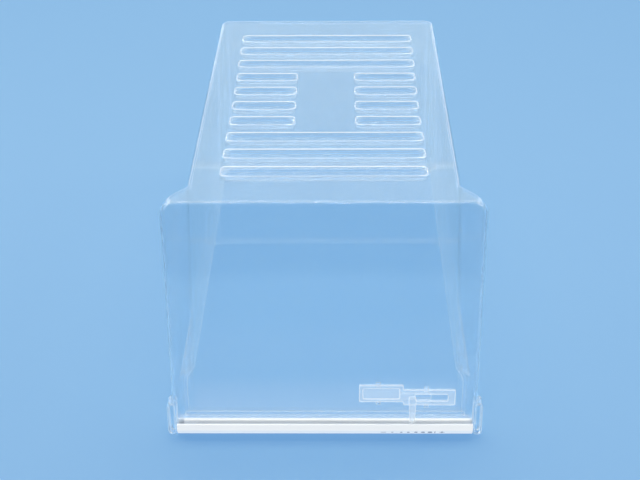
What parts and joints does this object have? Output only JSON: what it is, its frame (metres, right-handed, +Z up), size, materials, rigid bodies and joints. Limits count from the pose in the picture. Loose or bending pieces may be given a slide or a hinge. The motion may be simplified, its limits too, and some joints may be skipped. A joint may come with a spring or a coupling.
{
  "type": "refrigerator crisper drawer",
  "caption": "Clear crisper drawer with a flared front panel, ribbed floor, hanging flange, white grip trim and a sliding humidity vent.",
  "frame": {"origin": "middle of the underside of the drawer's floor, between the side walls and between the front panel and the rear wall", "axes": "+Z up through the open top, -Y out of the front panel, the way the drawer pulls out, +X to the right for someone who looks along +Y at the front panel; the humidity slide is on the -X side"},
  "size_m": [0.2898, 0.4716, 0.2386],
  "materials": {
    "clear_plastic": "clear, polished",
    "white_plastic": "white, satin",
    "clear_slide": "clear, polished"
  },
  "bodies": {
    "drawer": {"pan": "clear_plastic", "front_trim": "white_plastic"},
    "humidity_control": {"humidity_slide": "clear_slide"}
  },
  "joints": [
    {"name": "humidity_slide_travel", "type": "slide", "parent": "drawer", "child": "humidity_control", "axis": [1, 0, 0], "range_m": [-0.0145, 0.0145]}
  ]
}
